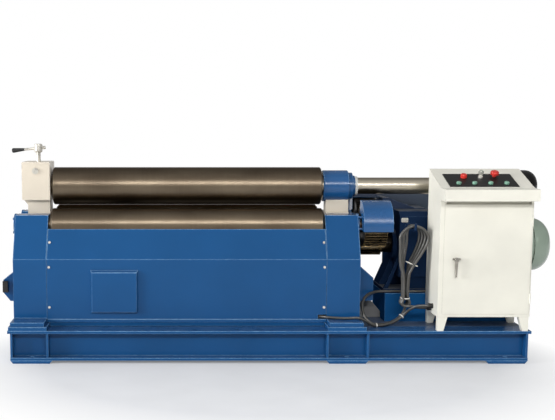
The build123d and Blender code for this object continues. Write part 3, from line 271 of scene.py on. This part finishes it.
class Look(Nodes):
    """A procedural material. Its patterns follow the object's own coordinates, in metres."""

    bevel_samples = 4
    gap_samples = 6

    def __init__(self, name):
        self.material = bpy.data.materials.new(name)
        self.material.use_nodes = True
        super().__init__(self.material.node_tree)
        self.shader = self.tree.nodes["Principled BSDF"]
        self.place = self.node("ShaderNodeTexCoord").outputs["Object"]

    def stretched(self, x, y, z):
        mapping = self.node("ShaderNodeMapping")
        self.feed(mapping.inputs["Vector"], self.place)
        self.feed(mapping.inputs["Scale"], (x, y, z))
        return mapping.outputs["Vector"]

    def noise(self, scale=1.0, detail=4.0, place=None):
        made = self.node("ShaderNodeTexNoise")
        self.feed(made.inputs["Vector"], place or self.place)
        self.feed(made.inputs["Scale"], scale)
        self.feed(made.inputs["Detail"], detail)
        return made.outputs["Fac"]

    def clouds(self, scale=1.0, detail=4.0, place=None, low=0.35, high=0.65, to_low=0.0, to_high=1.0):
        """Noise, with the values from low to high drawn out from to_low to to_high."""
        return self.span(self.noise(scale, detail, place), low, high, to_low, to_high)

    def times(self, first, second):
        return self.maths("MULTIPLY", first, second)

    def mixed(self, kind, sockets, share, first, second):
        made = self.node("ShaderNodeMix", data_type=kind)
        self.feed(made.inputs["Factor"], share)
        self.feed(made.inputs[sockets[0]], first)
        self.feed(made.inputs[sockets[1]], second)
        return made.outputs[sockets[2]]

    def mix(self, share, first, second):
        return self.mixed("RGBA", colour_sockets, share, first, second)

    def mix_values(self, share, first, second):
        return self.mixed("FLOAT", value_sockets, share, first, second)

    def edges(self, radius, sideways=1.0):
        """1 along the edges of the mesh, 0 on its flats. Edges that look sideways or down get less, so
        the painted highlight it carries sits on edges that face up.
        """
        rounded = self.node("ShaderNodeBevel", samples=self.bevel_samples)
        self.feed(rounded.inputs["Radius"], radius)
        flat = self.node("ShaderNodeNewGeometry").outputs["Normal"]
        turned = self.span(self.dot(rounded.outputs["Normal"], flat), low=0.9985, high=0.955)
        up = self.part(rounded.outputs["Normal"], "Z")
        return self.times(turned, self.span(up, low=0.05, high=0.25, to_low=sideways))

    def crevices(self, reach):
        """1 deep in gaps and inner corners, 0 on open faces."""
        opening = self.node("ShaderNodeAmbientOcclusion", samples=self.gap_samples)
        self.feed(opening.inputs["Distance"], reach)
        return self.span(opening.outputs["AO"], low=0.75, high=0.35)

    def upward(self):
        """1 on faces that look up, 0 on upright ones."""
        normal = self.node("ShaderNodeNewGeometry").outputs["Normal"]
        return self.span(self.part(normal, "Z"), low=0.7, high=0.98)

    def past_x(self, start, blur=0.002):
        """0 before this place along X, 1 after it."""
        return self.span(self.part(self.place, "X"), start - blur, start + blur)

    def bump(self, height, strength, distance=0.001):
        made = self.node("ShaderNodeBump")
        self.feed(made.inputs["Height"], height)
        self.feed(made.inputs["Strength"], strength)
        self.feed(made.inputs["Distance"], distance)
        self.feed(self.shader.inputs["Normal"], made.outputs["Normal"])

    def surface(self, colour, roughness, metallic=0.0):
        self.feed(self.shader.inputs["Base Color"], colour)
        self.feed(self.shader.inputs["Roughness"], roughness)
        self.feed(self.shader.inputs["Metallic"], metallic)
        return self.material


def paint(name, colour, edge_wear_and_painted_light, roughness, dust=0.12, peel=0.04, edge=0.004, gloss=0.32):
    """Sprayed paint: faint patches, edges tinted for wear and as painted light, painted shade in gaps,
    dust on ledges and orange peel.
    """
    dim, bright, gap_shade_tone = 0.93, 1.06, 0.25
    smooth, dull = 0.8, 1.3
    thin_dust = 0.3 * dust
    gap_shade_weight = 0.45
    look = Look(name)
    coat = look.mix(look.clouds(scale=2.2, detail=5.0), shade(colour, dim), shade(colour, bright))
    grain = look.clouds(scale=45.0, detail=5.0, low=0.42, high=0.60, to_low=0.65)
    # Edges tinted with the worn colour: wear, plus a painted highlight on edges that face up
    coat = look.mix(look.times(look.edges(edge, sideways=0.25), grain), coat, edge_wear_and_painted_light)
    settled = look.clouds(scale=9.0, detail=6.0, low=0.3, high=0.7, to_low=thin_dust, to_high=dust)
    coat = look.mix(look.times(look.upward(), settled), coat, srgb(150, 150, 146))
    # Painted shade: darker in gaps and inner corners, where shade falls
    coat = look.mix(look.times(look.crevices(reach=0.012), gap_shade_weight), coat, shade(colour, gap_shade_tone))
    smears = look.clouds(scale=6.0, detail=6.0, low=0.3, high=0.7, to_low=roughness * smooth,
                         to_high=roughness * dull)
    look.bump(look.noise(scale=260.0, detail=2.0), strength=peel)
    look.feed(look.shader.inputs["Specular IOR Level"], gloss)
    return look.surface(coat, smears)


def turned_steel(name, dark, pale, bright_from=None, film_weight=0.5):
    """Lathe-turned steel with an oily film and a painted highlight along its edges. Past bright_from,
    along X, it is polished.
    """
    scratch_brightness = 1.4
    edge_wear_and_highlight_weight = 0.4
    handled_roughness = 0.36
    look = Look(name)
    rings = look.noise(detail=3.0, place=look.stretched(900.0, 5.0, 5.0))
    film = look.clouds(detail=6.0, place=look.stretched(2.6, 7.0, 7.0), high=0.68)
    handling = look.clouds(scale=14.0, detail=6.0, high=0.7)
    scratches = look.clouds(place=look.stretched(90.0, 6.0, 6.0), low=0.5, high=0.75, to_high=0.12)
    colour = look.mix(film, dark, pale)
    colour = look.mix(scratches, colour, shade(pale, scratch_brightness))
    # Pale rim along the turned edges: a painted highlight
    colour = look.mix(look.times(look.edges(radius=0.003), edge_wear_and_highlight_weight), colour, srgb(205, 196, 178))
    film_roughness = look.span(film, low=0.0, high=1.0, to_low=0.35, to_high=0.28)
    shine = look.mix_values(handling, film_roughness, handled_roughness)
    if bright_from is not None:
        polished = look.past_x(bright_from)
        sheen = look.mix(look.span(rings, low=0.3, high=0.7), srgb(180, 171, 154), srgb(192, 184, 168))
        colour = look.mix(polished, colour, sheen)
        sheen_roughness = look.span(rings, low=0.3, high=0.7, to_low=0.30, to_high=0.33)
        shine = look.mix_values(polished, shine, sheen_roughness)
    look.bump(rings, strength=0.03)
    look.feed(look.shader.inputs["Specular Tint"], srgb(150, 140, 125))
    look.feed(look.shader.inputs["Coat Weight"], film_weight)
    look.feed(look.shader.inputs["Coat Roughness"], 0.29)
    return look.surface(colour, shine, metallic=1.0)


def plain_metal(name, colour, roughness, metallic=0.75):
    """Bare or plated metal with cloudy tone, fine scratches and edges brightened by wear and a painted
    highlight.
    """
    dim, bright, edge_wear_and_painted_light = 0.75, 1.25, 1.7
    edge_wear_and_highlight_weight = 0.6
    smooth, dull = 0.8, 1.25
    look = Look(name)
    cloud = look.clouds(scale=22.0, detail=5.0)
    base = look.mix(cloud, shade(colour, dim), shade(colour, bright))
    # Brighter edges: wear and a painted highlight
    base = look.mix(look.times(look.edges(radius=0.002), edge_wear_and_highlight_weight), base, shade(colour, edge_wear_and_painted_light))
    look.bump(look.noise(detail=3.0, place=look.stretched(300.0, 300.0, 900.0)), strength=0.05)
    shine = look.span(cloud, low=0.0, high=1.0, to_low=roughness * smooth, to_high=roughness * dull)
    return look.surface(base, shine, metallic)


def oily_gear(name):
    """Near-black greased steel, with brassy edges along its teeth: partly rubbed metal, partly a painted
    highlight.
    """
    look = Look(name)
    grease = look.clouds(scale=30.0, detail=6.0)
    base = look.mix(grease, srgb(20, 17, 14), srgb(46, 40, 33))
    # Brassy edges: rubbed metal and a painted highlight
    rubbed_and_highlit = look.times(look.edges(radius=0.0025), look.clouds(scale=18.0, high=0.6, to_low=0.35))
    base = look.mix(rubbed_and_highlit, base, srgb(214, 184, 130))
    look.bump(look.noise(scale=140.0), strength=0.15)
    shine = look.span(grease, low=0.0, high=1.0, to_low=0.24, to_high=0.5)
    return look.surface(base, shine, metallic=0.9)


def plastic(name, colour, roughness, grain=0.05, gap_shade=0.0, reach=0.01, gloss=0.5):
    """Moulded plastic or rubber with a fine grain, faint tone, edges paler by wear and a painted
    highlight, and painted shade in gaps.
    """
    dim, bright, edge_wear_and_painted_light, gap_shade_tone = 0.85, 1.12, 1.6, 0.1
    edge_wear_and_highlight_weight = 0.5
    smooth, dull = 0.85, 1.15
    look = Look(name)
    tone = look.clouds(scale=40.0)
    base = look.mix(tone, shade(colour, dim), shade(colour, bright))
    # Paler edges: wear and a painted highlight
    base = look.mix(look.times(look.edges(radius=0.0012), edge_wear_and_highlight_weight), base, shade(colour, edge_wear_and_painted_light))
    # Painted shade in gaps and where strands touch
    base = look.mix(look.times(look.crevices(reach), gap_shade), base, shade(colour, gap_shade_tone))
    look.bump(look.noise(scale=900.0, detail=2.0), strength=grain, distance=0.0005)
    look.feed(look.shader.inputs["Specular IOR Level"], gloss)
    shine = look.span(tone, low=0.0, high=1.0, to_low=roughness * smooth, to_high=roughness * dull)
    return look.surface(base, shine)


def brushed_panel(name):
    """Black anodised sheet with brush lines along X."""
    edge_wear_and_highlight_weight = 0.8
    look = Look(name)
    lines = look.noise(detail=3.0, place=look.stretched(8.0, 900.0, 900.0))
    base = look.mix(look.span(lines, low=0.35, high=0.65), srgb(14, 14, 14), srgb(27, 26, 25))
    # Pale edges: wear and a painted highlight
    base = look.mix(look.times(look.edges(radius=0.001), edge_wear_and_highlight_weight), base, srgb(120, 118, 112))
    look.bump(lines, strength=0.05, distance=0.0004)
    shine = look.span(lines, low=0.3, high=0.7, to_low=0.34, to_high=0.5)
    return look.surface(base, shine, metallic=0.4)


blue = srgb(24, 79, 131)
blue_wear_and_highlight = srgb(138, 182, 220)
roll_dark = srgb(84, 71, 55)
roll_pale = srgb(110, 97, 79)
# Share of the roll colours kept for the rear roll: painted shade, as it lies in the shade of the upper
# roll
rear_roll_painted_shade = 0.4
looks = {
    "blue_paint": paint("blue_paint", blue, blue_wear_and_highlight, roughness=0.17, edge=0.006, gloss=0.18),
    "dark_blue_paint": paint("dark_blue_paint", srgb(26, 44, 72), srgb(88, 112, 146), roughness=0.30,
                             dust=0.45, edge=0.002, gloss=0.0),
    "cream_paint": paint("cream_paint", srgb(220, 210, 193), srgb(244, 238, 226), roughness=0.34,
                         dust=0.05),
    # Its edge colour is darker than the paint: a painted shade line along the edges
    "cabinet_paint": paint("cabinet_paint", srgb(237, 235, 223), srgb(208, 205, 192), roughness=0.40,
                           dust=0.04, peel=0.07, edge=0.003),
    "motor_paint": paint("motor_paint", srgb(157, 174, 159), srgb(188, 202, 190), roughness=0.2,
                         gloss=0.5),
    "black_paint": paint("black_paint", srgb(13, 12, 13), srgb(60, 57, 57), roughness=0.2, dust=0.06),
    "roll_steel": turned_steel("roll_steel", roll_dark, roll_pale),
    "bright_steel": plain_metal("bright_steel", srgb(190, 184, 172), roughness=0.22),
    "zinc_steel": plain_metal("zinc_steel", srgb(212, 208, 198), roughness=0.30, metallic=0.45),
    "gear_steel": oily_gear("gear_steel"),
    "bronze": plain_metal("bronze", srgb(172, 128, 66), roughness=0.32),
    "seal_ring": plastic("seal_ring", srgb(226, 224, 216), roughness=0.45),
    "black_plastic": plastic("black_plastic", srgb(24, 23, 23), roughness=0.40),
    "panel_black": brushed_panel("panel_black"),
    "grey_plastic": plastic("grey_plastic", srgb(150, 153, 152), roughness=0.45),
    "green_plastic": plastic("green_plastic", srgb(128, 174, 152), roughness=0.28, grain=0.02),
    "red_plastic": plastic("red_plastic", srgb(216, 56, 48), roughness=0.30, grain=0.02),
    "cable_rubber": plastic("cable_rubber", srgb(68, 67, 64), roughness=0.34, grain=0.08, gap_shade=0.95,
                            reach=0.022, gloss=0.8),
}

# Nodes whose finish differs from the rest of their slot; some are darker copies that carry painted shade
gloss_blue = paint("gloss_blue_paint", blue, blue_wear_and_highlight, roughness=0.23, gloss=0.5)
own_looks = {
    "upper_roll": turned_steel("upper_roll_steel", roll_dark, roll_pale, bright_from=0.345),
    # Darker copy of the roll steel: painted shade
    "rear_lower_roll": turned_steel("rear_roll_steel_painted_shade", shade(roll_dark, rear_roll_painted_shade),
                                    shade(roll_pale, rear_roll_painted_shade), film_weight=0.0),
    "drive_cover": paint("grey_blue_paint", srgb(48, 61, 86), srgb(112, 126, 148), roughness=0.4,
                         dust=0.5, gloss=0.1),
    "upper_housing": gloss_blue,
    "gear_guards": gloss_blue,
    # Darker copy of the gear steel for the rear gear: painted shade
    "rear_roll_gear": plain_metal("gear_steel_painted_shade", srgb(34, 31, 28), roughness=0.45),
    # Darker copy of the blue: dirt, and painted shade under the cabinet
    "drive_deck": paint("deck_paint_dirt_and_shade", srgb(30, 64, 104), blue_wear_and_highlight, roughness=0.35, dust=0.3, gloss=0.18),
    "drive_pedestal": paint("pedestal_paint", blue, blue_wear_and_highlight, roughness=0.35, edge=0.006, gloss=0.0),
    "door_handle": plain_metal("handle_chrome", srgb(158, 154, 146), roughness=0.16, metallic=1.0),
    "key_switch": plain_metal("key_chrome", srgb(226, 223, 214), roughness=0.2, metallic=0.5),
}
# Painted light: the guard sheets are made paler so they read light in the shade under the tail
guard_sheet_painted_light = paint("guard_sheet_painted_light", srgb(118, 130, 152), srgb(160, 172, 190), roughness=0.4, gloss=0.1)
grey_primer = paint("grey_primer", srgb(122, 122, 122), srgb(176, 176, 174), roughness=0.5, gloss=0.2)


def dress(piece, material):
    piece.data.materials.clear()
    piece.data.materials.append(material)


for part in frame["record"]["subparts"]:
    dress(nodes[part["node"]], looks[part["material_slot"]])
for node_name, own_look in own_looks.items():
    dress(nodes[node_name], own_look)


# Camera
lens = bpy.data.cameras.new("camera")
lens.sensor_width = sensor_width
lens.lens = focal_pixels * sensor_width / picture_width
lens.shift_x = (picture_width / 2 - centre_pixel_x) / picture_width
lens.shift_y = (centre_pixel_y - picture_height / 2) / picture_width
camera = bpy.data.objects.new("camera", lens)
camera.location = camera_place
camera.rotation_euler = (math.radians(90.0 - camera_pitch), 0.0, 0.0)
bpy.context.scene.collection.objects.link(camera)
bpy.context.scene.camera = camera
bpy.context.scene.view_settings.view_transform = "Standard"


# Cables and their ties

def hank_middle(height):
    share = (height - hank_lean_z) / (hank_bow_z - hank_lean_z)
    return hank_low_x + (hank_x - hank_low_x) * min(1.0, max(0.0, share))


def hank_side(top):
    """Half a loop, from its top to its fold: distance from the middle, and height."""
    corner = math.tan(math.radians(22.5))
    fold = hank_fold_half_width
    arch = [(corner * top, hank_top_z), (top, hank_top_z - (1 - corner) * top)]
    taper = [(share * top, height) for share, height in hank_taper]
    bend = [(fold, hank_bottom_z + (1 - corner) * fold), (corner * fold, hank_bottom_z)]
    return arch + taper + hank_neck + bend


def hank_loop(loop):
    right = hank_side(hank_half_width - hank_right_nesting[loop])
    left = hank_side(hank_half_width - hank_left_nesting[loop])
    return [(-out, height) for out, height in reversed(left)] + right


def hank_points():
    """The loops, each a little further back, up to where the last one goes over into the tail."""
    points = []
    for loop in range(hank_loops):
        outline = hank_loop(loop)
        aside = hank_stagger if loop % 2 else -hank_stagger
        for index, (out, height) in enumerate(outline):
            depth = hank_front_y + hank_pitch * (loop + index / len(outline))
            shift = aside if hank_neck_z <= height <= hank_waist_z else 0.0
            points.append((hank_middle(height) + out + shift, depth, height))
    return points[:-hank_points_left_off]


def cable(name, route):
    curve = bpy.data.curves.new(name, "CURVE")
    curve.dimensions = "3D"
    curve.bevel_depth = cable_diameter / 2
    curve.bevel_resolution = cable_roundness
    curve.resolution_u = cable_smoothness
    curve.use_fill_caps = True
    spline = curve.splines.new("NURBS")
    spline.points.add(len(route) - 1)
    for point, place in zip(spline.points, route):
        point.co = (*place, 1.0)
    spline.order_u = 3
    spline.use_endpoint_u = True
    piece = bpy.data.objects.new(name, curve)
    bpy.context.scene.collection.objects.link(piece)
    dress(piece, looks["cable_rubber"])
    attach(piece, "base")
    return piece


def mesh_piece(name, shape, slot):
    mesh = bpy.data.meshes.new(name)
    shape.to_mesh(mesh)
    shape.free()
    piece = bpy.data.objects.new(name, mesh)
    bpy.context.scene.collection.objects.link(piece)
    dress(piece, looks[slot])
    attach(piece, "base")
    return piece


def join_rings(shape, ring, following):
    """Faces between two rings of points, one for each side."""
    for corner in range(len(ring)):
        after = (corner + 1) % len(ring)
        shape.faces.new((ring[corner], ring[after], following[after], following[corner]))


def tie(name, centre, along, half_width, half_depth):
    shape = bmesh.new()
    rings = []
    for index in range(tie_steps):
        angle = 2 * math.pi * index / tie_steps
        across = math.copysign(abs(math.cos(angle)) ** tie_squareness, math.cos(angle))
        deep = math.copysign(abs(math.sin(angle)) ** tie_squareness, math.sin(angle))
        ring = []
        for extra, up in ((0, -1), (tie_thickness, -1), (tie_thickness, 1), (0, 1)):
            corner = (across * (half_width + extra), deep * (half_depth + extra), up * tie_height / 2)
            ring.append(shape.verts.new(corner))
        rings.append(ring)
    for ring, following in zip(rings, rings[1:] + rings[:1]):
        join_rings(shape, ring, following)
    lock = bmesh.ops.create_cube(shape, size=1.0)["verts"]
    bmesh.ops.scale(shape, verts=lock, vec=tie_lock_size)
    lock_place = (tie_lock_share * half_width, -half_depth - tie_lock_out, 0.0)
    bmesh.ops.translate(shape, verts=lock, vec=lock_place)
    turn = Vector(along).to_track_quat("Z", "Y").to_matrix()
    bmesh.ops.rotate(shape, verts=shape.verts, cent=(0.0, 0.0, 0.0), matrix=turn)
    bmesh.ops.translate(shape, verts=shape.verts, vec=centre)
    bmesh.ops.recalc_face_normals(shape, faces=shape.faces)
    return mesh_piece(name, shape, "seal_ring")


ties = [tie(name, *sizes) for name, sizes in tie_places.items()]
lift_cable = cable("lift_lead", lift_route)
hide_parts("lift_cable")
motor_route = motor_lead + hank_points() + motor_tail
motor_cable = cable("motor_lead", motor_route)
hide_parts("motor_cable")


# Plates, sheets and their fasteners

def add_heads(shape, places, face_y, radius, flatness, steps):
    """Round heads of pins or screws, at these places in X and Z."""
    around, along = steps
    for x, z in places:
        ball = bmesh.ops.create_uvsphere(shape, u_segments=around, v_segments=along, radius=radius)
        head = ball["verts"]
        bmesh.ops.scale(shape, verts=head, vec=(1.0, flatness, 1.0))
        bmesh.ops.translate(shape, verts=head, vec=(x, face_y, z))


def round_edges(shape, edges, rounding, steps):
    bmesh.ops.bevel(shape, geom=edges, offset=rounding, segments=steps, affect="EDGES")


def blank_plate():
    shape = bmesh.new()
    plate = bmesh.ops.create_cube(shape, size=1.0)["verts"]
    width = plate_high[0] - plate_low[0]
    height = plate_high[1] - plate_low[1]
    middle_x = (plate_low[0] + plate_high[0]) / 2
    middle_z = (plate_low[1] + plate_high[1]) / 2
    bmesh.ops.scale(shape, verts=plate, vec=(width, plate_thickness, height))
    bmesh.ops.translate(shape, verts=plate, vec=(middle_x, plate_face_y - plate_thickness / 2, middle_z))
    through = []
    for edge in shape.edges:
        start, end = edge.verts
        if abs(end.co.y - start.co.y) > plate_thickness / 2:
            through.append(edge)
    round_edges(shape, through, plate_corner_radius, plate_corner_steps)
    pins = []
    for x in (plate_low[0] + pin_inset, plate_high[0] - pin_inset):
        for z in (plate_low[1] + pin_inset, plate_high[1] - pin_inset):
            pins.append((x, z))
    add_heads(shape, pins, plate_face_y - plate_thickness, pin_radius, pin_flatness, pin_steps)
    mesh_piece("reducer_plate", shape, "zinc_steel")


def drawn_out(name, outline, slot, reach, axis, rounding):
    """A plate or bent sheet: an outline in the plane across the axis, drawn out along it."""
    start, end = reach
    shape = bmesh.new()
    corners = []
    for first, second in outline:
        place = [first, second]
        place.insert(axis, start)
        corners.append(shape.verts.new(place))
    pulled = bmesh.ops.extrude_face_region(shape, geom=[shape.faces.new(corners)])["geom"]
    far_side = [item for item in pulled if isinstance(item, bmesh.types.BMVert)]
    along = [0.0, 0.0, 0.0]
    along[axis] = end - start
    bmesh.ops.translate(shape, verts=far_side, vec=along)
    round_edges(shape, list(shape.edges), rounding, rounding_steps)
    bmesh.ops.recalc_face_normals(shape, faces=shape.faces)
    return mesh_piece(name, shape, slot)


def inspection_cover():
    low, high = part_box("inspection_plate")
    left = low[0] + cover_side_slope
    right = high[0] - cover_side_slope
    bottom = low[2] + cover_bottom_slope
    top = high[2] - cover_top_slope
    outer = [(low[0], low[2]), (high[0], low[2]), (high[0], high[2]), (low[0], high[2])]
    inner = [(left, bottom), (right, bottom), (right, top), (left, top)]
    shape = bmesh.new()
    rings = []
    for outline, out in ((outer, 0.0), (outer, cover_lip), (inner, cover_rise)):
        rings.append([shape.verts.new((x, high[1] - out, z)) for x, z in outline])
    for ring, following in zip(rings, rings[1:]):
        join_rings(shape, ring, following)
    shape.faces.new(rings[0])
    shape.faces.new(rings[-1])
    bmesh.ops.recalc_face_normals(shape, faces=shape.faces)
    round_edges(shape, list(shape.edges), plate_rounding, rounding_steps)
    piece = mesh_piece("inspection_cover", shape, "blue_paint")
    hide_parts("inspection_plate")


def guard_screws():
    shape = bmesh.new()
    add_heads(shape, sheet_screws, sheet_y[1], screw_radius, screw_flatness, screw_steps)
    mesh_piece("guard_sheet_screws", shape, "zinc_steel")


blank_plate()
gusset = drawn_out("stand_gusset", gusset_corners, "grey_plastic", gusset_y, y_axis, plate_rounding)
dress(gusset, grey_primer)
inspection_cover()
drawn_out("door_top_rail", rail_section, "cabinet_paint", rail_x, x_axis, sheet_rounding)
for sheet_name, sheet_outline in (("rear_gear_sheet", gear_sheet), ("rear_guard_sheet", cover_sheet)):
    guard = drawn_out(sheet_name, sheet_outline, "dark_blue_paint", sheet_y, y_axis, sheet_rounding)
    dress(guard, guard_sheet_painted_light)
guard_screws()


# The world: soft light that is stronger from the back, a white backdrop, and a dimmer room in reflections
world = bpy.data.worlds.new("studio")
world.use_nodes = True
bpy.context.scene.world = world
sky = Nodes(world.node_tree)


def background(strength):
    made = sky.node("ShaderNodeBackground")
    sky.feed(made.inputs["Color"], (1.0, 1.0, 1.0, 1.0))
    sky.feed(made.inputs["Strength"], strength)
    return made.outputs["Background"]


direction = sky.node("ShaderNodeTexCoord").outputs["Generated"]
to_back = sky.part(direction, "Y")
to_glow = sky.dot(direction, (0.0, -math.cos(glow_height), math.sin(glow_height)))
backdrop = sky.span(to_back, *backdrop_span, room_strength, backdrop_strength)
glow = sky.span(to_glow, *glow_span, 0.0, glow_strength)
room = background(sky.maths("ADD", backdrop, glow))
soft_light = background(sky.span(to_back, *back_light_span, ambient_strength, back_light_strength))
reflected = sky.either_ray("Is Glossy Ray", "Is Transmission Ray")
lit_sky = sky.choose(reflected, soft_light, room)
seen_sky = sky.choose(sky.either_ray("Is Camera Ray"), lit_sky, background(backdrop_strength))
sky.feed(sky.tree.nodes["World Output"].inputs["Surface"], seen_sky)


# The floor shows white, with the object's shadow near it, and lights the object as a grey floor would
floor_mesh = bpy.data.meshes.new("floor")
floor_shape = bmesh.new()
bmesh.ops.create_grid(floor_shape, x_segments=1, y_segments=1, size=floor_size / 2)
floor_shape.to_mesh(floor_mesh)
floor_shape.free()
floor = bpy.data.objects.new("floor", floor_mesh)
bpy.context.scene.collection.objects.link(floor)
ground = Look("floor")


def matt(first, second, speckle):
    made = ground.node("ShaderNodeBsdfDiffuse")
    ground.feed(made.inputs["Color"], ground.mix(speckle, first, second))
    return made.outputs["BSDF"]


patch = ground.node("ShaderNodeMapping")
ground.feed(patch.inputs["Vector"], ground.place)
ground.feed(patch.inputs["Location"], (0.0, -shadow_middle_y / shadow_half_size[1], 0.0))
ground.feed(patch.inputs["Scale"], (1 / shadow_half_size[0], 1 / shadow_half_size[1], 1.0))
far = ground.joined("ShaderNodeVectorMath", "LENGTH", "Value", patch.outputs["Vector"])
near_share = ground.span(far, *shadow_reach, shadow_share, 0.0)
speckle = ground.clouds(scale=3.0, low=0.3, high=0.7)
grey_floor = matt(srgb(220, 220, 220), srgb(228, 228, 228), speckle)
pale_floor = matt(srgb(222, 224, 228), srgb(228, 230, 234), speckle)
white_floor = ground.node("ShaderNodeEmission").outputs["Emission"]
shaded = ground.choose(near_share, white_floor, pale_floor)
seen = ground.either_ray("Is Camera Ray", "Is Glossy Ray", "Is Transmission Ray")
seen_floor = ground.choose(seen, grey_floor, shaded)
ground.feed(ground.tree.nodes["Material Output"].inputs["Surface"], seen_floor)
dress(floor, ground.material)


# Lamps, in metres and watts

def lamp(name, place, target, width, height, power):
    light = bpy.data.lights.new(name, "AREA")
    light.shape = "RECTANGLE"
    light.size = width
    light.size_y = height
    light.energy = power
    holder = bpy.data.objects.new(name, light)
    holder.location = place
    holder.rotation_euler = (Vector(target) - Vector(place)).to_track_quat("-Z", "Y").to_euler()
    bpy.context.scene.collection.objects.link(holder)


middle = (0.0, 0.0, 0.8)
right_of_middle = (3.4, 0.0, 0.8)
lamp("top_lamp", (0.0, -0.8, 6.3), middle, width=8.0, height=3.5, power=12.0)
lamp("strip_lamp", (0.2, -5.8, 3.25), middle, width=4.6, height=0.5, power=177.0)
lamp("end_lamp", (3.6, -5.8, 3.25), right_of_middle, width=2.2, height=0.5, power=14.0)
lamp("left_lamp", (-12.0, -4.0, 3.5), middle, width=5.0, height=5.0, power=1380.0)
